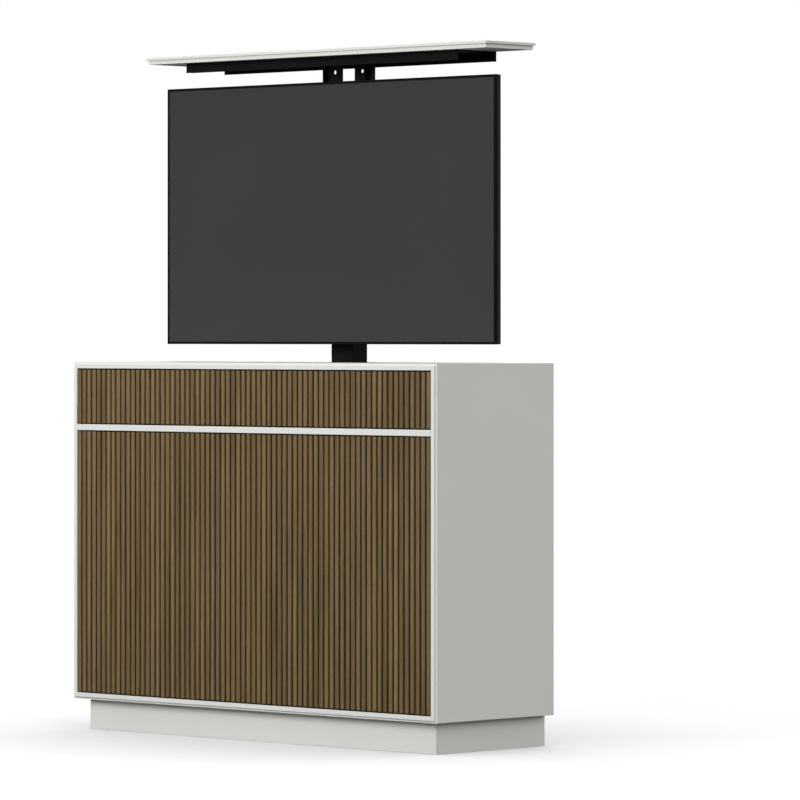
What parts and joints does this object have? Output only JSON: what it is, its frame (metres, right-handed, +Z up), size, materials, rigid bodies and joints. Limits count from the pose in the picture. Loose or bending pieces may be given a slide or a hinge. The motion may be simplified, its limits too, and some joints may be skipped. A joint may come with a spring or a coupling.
{
  "type": "tv lift cabinet",
  "caption": "Low cabinet with a fluted drop flap and doors; a telescopic column raises a flat screen and the lid strip that hides it from the rear bay.",
  "frame": {"origin": "on the floor, midway between the sides and midway between face frame and back", "axes": "+Z up, +X to the viewer's right, the fluted front faces -Y; the screen is raised at rest"},
  "size_m": [1.25, 0.4046, 1.67],
  "materials": {
    "white_lacquer": "white satin lacquer on board",
    "carcase_board": "matte white faced board",
    "walnut_slats": "oiled walnut, grain upright",
    "walnut_backing": "dark stained board",
    "hinge_steel": "black zinc plated",
    "black_steel": "fine black powder coat",
    "black_plastic": "fine texture",
    "grey_plastic": "moulded",
    "screen_trim": "satin black",
    "screen_glass": "matte anti-glare, screen off"
  },
  "bodies": {
    "case": {"plinth_front": "white_lacquer", "plinth_back": "white_lacquer", "plinth_sides": "white_lacquer", "levelling_feet": "black_plastic", "bottom_board": "white_lacquer", "side_left": "white_lacquer", "side_right": "white_lacquer", "top_board": "white_lacquer", "back_panel": "carcase_board", "cable_outlet": "black_plastic", "bay_partition": "carcase_board", "compartment_board": "carcase_board", "dividers": "carcase_board", "shelves": "carcase_board", "shelf_cleats": "carcase_board", "frame_stiles": "white_lacquer", "frame_top_rail": "white_lacquer", "frame_mid_rail": "white_lacquer", "frame_bottom_rail": "white_lacquer", "latch_housings": "grey_plastic", "lift_outer_column": "black_steel", "lift_outer_glide": "black_plastic", "lift_gearmotor": "black_plastic", "control_box": "black_plastic", "lift_back_rail": "carcase_board", "lift_column_clamp": "black_steel"},
    "middle_stage": {"lift_middle_column": "black_steel", "lift_middle_glides": "black_plastic"},
    "carriage": {"lift_inner_column": "black_steel", "lift_inner_glide": "black_plastic", "tv_mount_plate": "black_steel", "tv_mount_arms": "black_steel", "column_cap": "black_steel", "lid_upright_left": "black_steel", "lid_upright_right": "black_steel", "lid_tray": "black_steel", "lid_screws": "black_steel", "lid_panel": "white_lacquer", "tv_bezel": "screen_trim", "tv_screen": "screen_glass", "tv_back_cover": "black_plastic", "vesa_screws": "black_steel"},
    "flap": {"flap_panel": "walnut_backing", "flap_slats": "walnut_slats", "flap_hardware": "hinge_steel"},
    "door_left": {"door_left_panel": "walnut_backing", "door_left_slats": "walnut_slats", "door_left_hardware": "hinge_steel"},
    "door_middle": {"door_middle_panel": "walnut_backing", "door_middle_slats": "walnut_slats", "door_middle_hardware": "hinge_steel"},
    "door_right": {"door_right_panel": "walnut_backing", "door_right_slats": "walnut_slats", "door_right_hardware": "hinge_steel"},
    "flap_latch_plunger": {"flap_plunger": "grey_plastic"},
    "door_left_latch_plunger": {"door_left_plunger": "grey_plastic"},
    "door_middle_latch_plunger": {"door_middle_plunger": "grey_plastic"},
    "door_right_latch_plunger": {"door_right_plunger": "grey_plastic"}
  },
  "joints": [
    {"name": "lift_middle", "type": "slide", "parent": "case", "child": "middle_stage", "axis": [0, 0, 1], "range_m": [-0.38, 0]},
    {"name": "lift_inner", "type": "slide", "parent": "middle_stage", "child": "carriage", "axis": [0, 0, 1], "range_m": [-0.38, 0]},
    {"name": "flap_hinge", "type": "hinge", "parent": "case", "child": "flap", "pos_m": [0, -0.19825, 0.763], "axis": [1, 0, 0], "range_deg": [0, 90]},
    {"name": "door_left_hinge", "type": "hinge", "parent": "case", "child": "door_left", "pos_m": [-0.6035, -0.19825, 0.4155], "axis": [0, 0, -1], "range_deg": [0, 100]},
    {"name": "door_middle_hinge", "type": "hinge", "parent": "case", "child": "door_middle", "pos_m": [-0.1983, -0.19825, 0.4155], "axis": [0, 0, -1], "range_deg": [0, 100]},
    {"name": "door_right_hinge", "type": "hinge", "parent": "case", "child": "door_right", "pos_m": [0.6035, -0.19825, 0.4155], "axis": [0, 0, 1], "range_deg": [0, 100]},
    {"name": "flap_latch_press", "type": "slide", "parent": "case", "child": "flap_latch_plunger", "axis": [0, 1, 0], "range_m": [0, 0.004], "stiffness_N_per_m": 300, "springref_m": -0.004},
    {"name": "door_left_latch_press", "type": "slide", "parent": "case", "child": "door_left_latch_plunger", "axis": [0, 1, 0], "range_m": [0, 0.004], "stiffness_N_per_m": 300, "springref_m": -0.004},
    {"name": "door_middle_latch_press", "type": "slide", "parent": "case", "child": "door_middle_latch_plunger", "axis": [0, 1, 0], "range_m": [0, 0.004], "stiffness_N_per_m": 300, "springref_m": -0.004},
    {"name": "door_right_latch_press", "type": "slide", "parent": "case", "child": "door_right_latch_plunger", "axis": [0, 1, 0], "range_m": [0, 0.004], "stiffness_N_per_m": 300, "springref_m": -0.004}
  ],
  "couplings": [
    {"joint": "lift_inner", "follows": "lift_middle", "ratio": 1}
  ]
}
